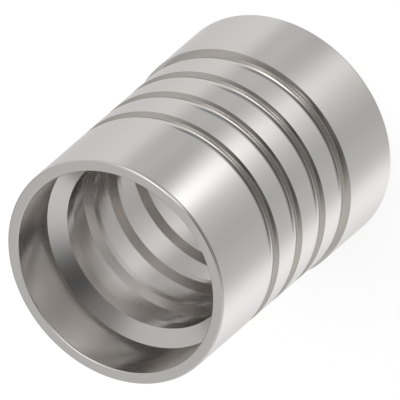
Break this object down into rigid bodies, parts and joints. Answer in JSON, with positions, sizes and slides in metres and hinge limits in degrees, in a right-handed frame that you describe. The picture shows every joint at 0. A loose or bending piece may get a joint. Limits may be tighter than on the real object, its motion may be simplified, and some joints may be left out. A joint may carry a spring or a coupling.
{
  "type": "crimp hose ferrule",
  "caption": "Turned steel sleeve crimped over a hose end: counterbored mouth, ring teeth in the bore, crimp grooves outside and an inward flange that locks on the nipple.",
  "frame": {"origin": "centre of the collar's end face, which the ferrule stands on", "axes": "+Z along the axis, out of the mouth that the hose goes into"},
  "size_m": [0.0384, 0.0384, 0.05],
  "materials": {
    "steel": "fine turned, satin"
  },
  "bodies": {
    "root": {"ferrule": "steel"}
  },
  "joints": []
}
